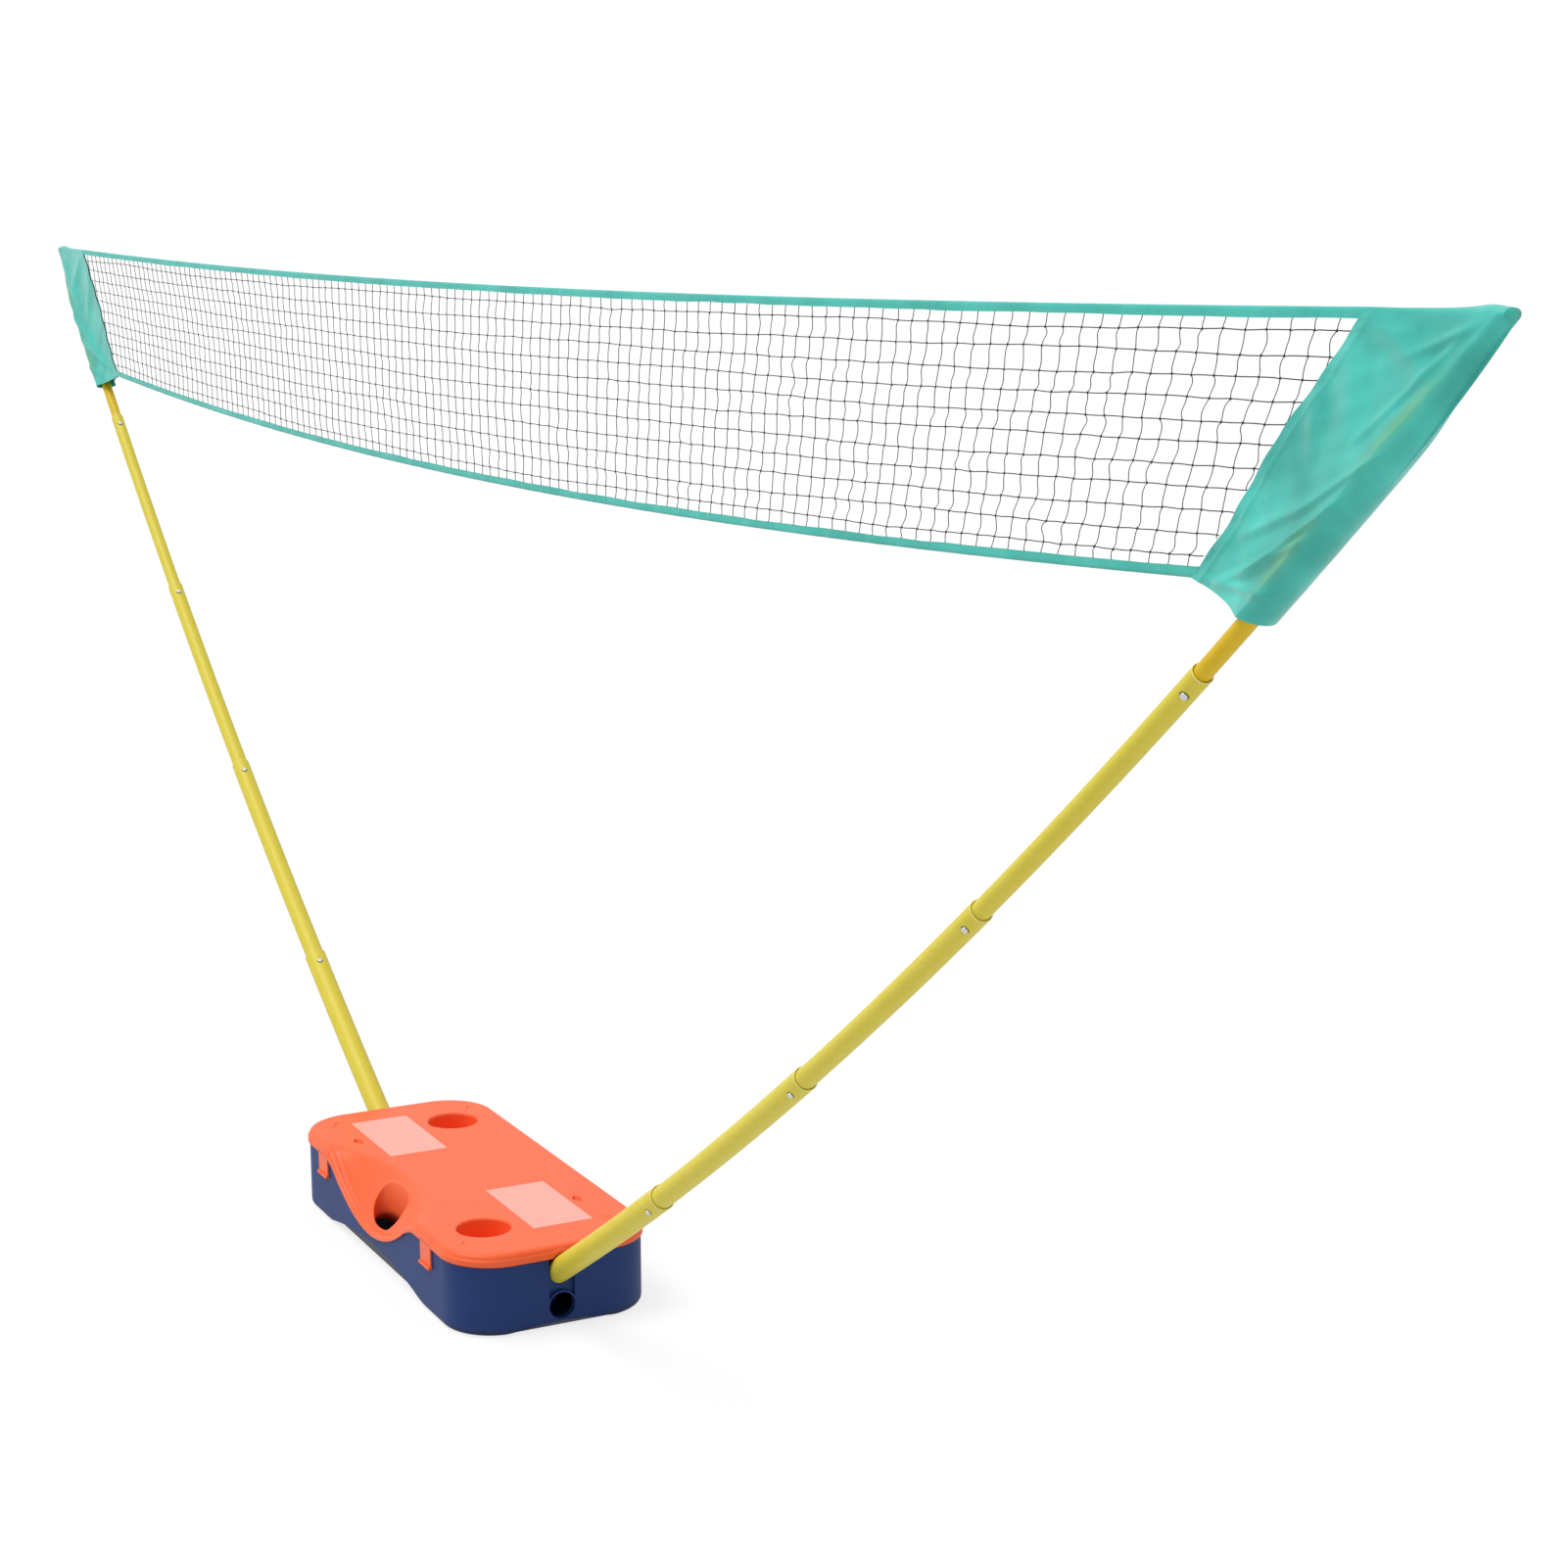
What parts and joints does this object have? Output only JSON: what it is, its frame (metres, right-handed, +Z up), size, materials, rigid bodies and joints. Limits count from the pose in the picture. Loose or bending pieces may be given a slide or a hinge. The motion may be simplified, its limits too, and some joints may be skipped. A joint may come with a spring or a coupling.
{
  "type": "portable_volleyball_net_on_poles",
  "caption": "Portable net set: a hinged carrying case as the base, two bowed telescopic poles plugged into its ends, and a net with cloth pockets over the pole tips",
  "frame": {"origin": "on the ground under the middle of the case", "axes": "X along the net, Y from front to back, Z up"},
  "size_m": [4.417, 0.31, 1.4674],
  "materials": {
    "navy_plastic": "moulded, fine matte",
    "orange_plastic": "moulded, satin",
    "black_plastic": "moulded",
    "pale_yellow_tube": "satin paint",
    "gold_tube": "satin paint",
    "bright_steel": "polished spring steel",
    "turquoise_cloth": "woven satin",
    "dark_netting": "knotted twine",
    "label_film": "matte film"
  },
  "bodies": {
    "case": {"tray": "navy_plastic", "hinge_pins": "bright_steel", "socket_screws": "bright_steel", "right_pole_socket": "navy_plastic", "right_foot_plug": "black_plastic", "right_pole_section_1": "pale_yellow_tube", "left_pole_socket": "navy_plastic", "left_foot_plug": "black_plastic", "left_pole_section_1": "pale_yellow_tube"},
    "lid": {"lid": "orange_plastic", "far_label": "label_film", "near_label": "label_film"},
    "net": {"netting": "dark_netting", "top_tape": "turquoise_cloth", "bottom_tape": "turquoise_cloth"},
    "right_latch": {"right_latch": "orange_plastic"},
    "right_section_2": {"right_pole_section_2": "pale_yellow_tube", "right_snap_spring_1": "bright_steel"},
    "right_button_1": {"right_snap_button_1": "bright_steel"},
    "right_section_3": {"right_pole_section_3": "pale_yellow_tube", "right_snap_spring_2": "bright_steel"},
    "right_button_2": {"right_snap_button_2": "bright_steel"},
    "right_section_4": {"right_pole_section_4": "pale_yellow_tube", "right_snap_spring_3": "bright_steel"},
    "right_button_3": {"right_snap_button_3": "bright_steel"},
    "right_section_5": {"right_pole_section_5": "gold_tube", "right_snap_spring_4": "bright_steel", "right_tip_cap": "black_plastic"},
    "right_button_4": {"right_snap_button_4": "bright_steel"},
    "right_pocket": {"right_pocket": "turquoise_cloth"},
    "left_latch": {"left_latch": "orange_plastic"},
    "left_section_2": {"left_pole_section_2": "pale_yellow_tube", "left_snap_spring_1": "bright_steel"},
    "left_button_1": {"left_snap_button_1": "bright_steel"},
    "left_section_3": {"left_pole_section_3": "pale_yellow_tube", "left_snap_spring_2": "bright_steel"},
    "left_button_2": {"left_snap_button_2": "bright_steel"},
    "left_section_4": {"left_pole_section_4": "pale_yellow_tube", "left_snap_spring_3": "bright_steel"},
    "left_button_3": {"left_snap_button_3": "bright_steel"},
    "left_section_5": {"left_pole_section_5": "gold_tube", "left_snap_spring_4": "bright_steel", "left_tip_cap": "black_plastic"},
    "left_button_4": {"left_snap_button_4": "bright_steel"},
    "left_pocket": {"left_pocket": "turquoise_cloth"}
  },
  "joints": [
    {"name": "lid_hinge", "type": "hinge", "parent": "case", "child": "lid", "pos_m": [0, 0.1522, 0.1027], "axis": [-1, 0, 0], "range_deg": [0, 105]},
    {"name": "net_drop", "type": "slide", "parent": "case", "child": "net", "axis": [0, 0, -1], "range_m": [0, 1.0375], "deforming": ["netting", "top_tape", "bottom_tape"]},
    {"name": "right_latch_flex", "type": "hinge", "parent": "lid", "child": "right_latch", "pos_m": [0.222, -0.1507, 0.104], "axis": [-1, 0, 0], "range_deg": [0, 12], "stiffness_Nm_per_rad": 0.6},
    {"name": "right_telescope_1", "type": "hinge", "parent": "case", "child": "right_section_2", "pos_m": [-5.55187, 0, 9.94155], "axis": [0, 1, 0], "range_deg": [0, 2.14], "deforming": ["right_snap_button_1"]},
    {"name": "right_button_press_1", "type": "slide", "parent": "right_section_2", "child": "right_button_1", "axis": [-0.348, 0.766, 0.5405], "range_m": [0, 0.0041], "stiffness_N_per_m": 400, "springref_m": -0.004, "deforming": ["right_snap_spring_1"]},
    {"name": "right_telescope_2", "type": "hinge", "parent": "right_section_2", "child": "right_section_3", "pos_m": [-5.55187, 0, 9.94155], "axis": [0, 1, 0], "range_deg": [0, 2.14], "deforming": ["right_snap_button_2"]},
    {"name": "right_button_press_2", "type": "slide", "parent": "right_section_3", "child": "right_button_2", "axis": [-0.3698, 0.766, 0.5257], "range_m": [0, 0.0041], "stiffness_N_per_m": 400, "springref_m": -0.004, "deforming": ["right_snap_spring_2"]},
    {"name": "right_telescope_3", "type": "hinge", "parent": "right_section_3", "child": "right_section_4", "pos_m": [-5.55187, 0, 9.94155], "axis": [0, 1, 0], "range_deg": [0, 2.14], "deforming": ["right_snap_button_3"]},
    {"name": "right_button_press_3", "type": "slide", "parent": "right_section_4", "child": "right_button_3", "axis": [-0.3911, 0.766, 0.5101], "range_m": [0, 0.0041], "stiffness_N_per_m": 400, "springref_m": -0.004, "deforming": ["right_snap_spring_3"]},
    {"name": "right_telescope_4", "type": "hinge", "parent": "right_section_4", "child": "right_section_5", "pos_m": [-5.55187, 0, 9.94155], "axis": [0, 1, 0], "range_deg": [0, 2.14], "deforming": ["right_snap_button_4"]},
    {"name": "right_button_press_4", "type": "slide", "parent": "right_section_5", "child": "right_button_4", "axis": [-0.4117, 0.766, 0.4937], "range_m": [0, 0.0041], "stiffness_N_per_m": 400, "springref_m": -0.004, "deforming": ["right_snap_spring_4"]},
    {"name": "right_pocket_swing", "type": "hinge", "parent": "net", "child": "right_pocket", "pos_m": [1.36652, 0, 10.4603], "axis": [0, 1, 0], "range_deg": [0, 8.58], "deforming": ["right_pocket"]},
    {"name": "left_latch_flex", "type": "hinge", "parent": "lid", "child": "left_latch", "pos_m": [-0.222, -0.1507, 0.104], "axis": [-1, 0, 0], "range_deg": [0, 12], "stiffness_Nm_per_rad": 0.6},
    {"name": "left_telescope_1", "type": "hinge", "parent": "case", "child": "left_section_2", "pos_m": [5.55187, 0, 9.94155], "axis": [0, -1, 0], "range_deg": [0, 2.14], "deforming": ["left_snap_button_1"]},
    {"name": "left_button_press_1", "type": "slide", "parent": "left_section_2", "child": "left_button_1", "axis": [-0.5361, 0.1392, -0.8326], "range_m": [0, 0.0041], "stiffness_N_per_m": 400, "springref_m": -0.004, "deforming": ["left_snap_spring_1"]},
    {"name": "left_telescope_2", "type": "hinge", "parent": "left_section_2", "child": "left_section_3", "pos_m": [5.55187, 0, 9.94155], "axis": [0, -1, 0], "range_deg": [0, 2.14], "deforming": ["left_snap_button_2"]},
    {"name": "left_button_press_2", "type": "slide", "parent": "left_section_3", "child": "left_button_2", "axis": [-0.5698, 0.1392, -0.8099], "range_m": [0, 0.0041], "stiffness_N_per_m": 400, "springref_m": -0.004, "deforming": ["left_snap_spring_2"]},
    {"name": "left_telescope_3", "type": "hinge", "parent": "left_section_3", "child": "left_section_4", "pos_m": [5.55187, 0, 9.94155], "axis": [0, -1, 0], "range_deg": [0, 2.14], "deforming": ["left_snap_button_3"]},
    {"name": "left_button_press_3", "type": "slide", "parent": "left_section_4", "child": "left_button_3", "axis": [-0.6025, 0.1392, -0.7859], "range_m": [0, 0.0041], "stiffness_N_per_m": 400, "springref_m": -0.004, "deforming": ["left_snap_spring_3"]},
    {"name": "left_telescope_4", "type": "hinge", "parent": "left_section_4", "child": "left_section_5", "pos_m": [5.55187, 0, 9.94155], "axis": [0, -1, 0], "range_deg": [0, 2.14], "deforming": ["left_snap_button_4"]},
    {"name": "left_button_press_4", "type": "slide", "parent": "left_section_5", "child": "left_button_4", "axis": [-0.6342, 0.1392, -0.7605], "range_m": [0, 0.0041], "stiffness_N_per_m": 400, "springref_m": -0.004, "deforming": ["left_snap_spring_4"]},
    {"name": "left_pocket_swing", "type": "hinge", "parent": "net", "child": "left_pocket", "pos_m": [-1.36652, 0, 10.4603], "axis": [0, -1, 0], "range_deg": [0, 8.58], "deforming": ["left_pocket"]}
  ],
  "couplings": [
    {"joint": "right_telescope_1", "follows": "net_drop", "rad_per_m": 0.036068},
    {"joint": "right_telescope_2", "follows": "net_drop", "rad_per_m": 0.036068},
    {"joint": "right_telescope_3", "follows": "net_drop", "rad_per_m": 0.036068},
    {"joint": "right_telescope_4", "follows": "net_drop", "rad_per_m": 0.036068},
    {"joint": "right_pocket_swing", "follows": "net_drop", "rad_per_m": 0.14427},
    {"joint": "left_telescope_1", "follows": "net_drop", "rad_per_m": 0.036068},
    {"joint": "left_telescope_2", "follows": "net_drop", "rad_per_m": 0.036068},
    {"joint": "left_telescope_3", "follows": "net_drop", "rad_per_m": 0.036068},
    {"joint": "left_telescope_4", "follows": "net_drop", "rad_per_m": 0.036068},
    {"joint": "left_pocket_swing", "follows": "net_drop", "rad_per_m": 0.14427}
  ]
}
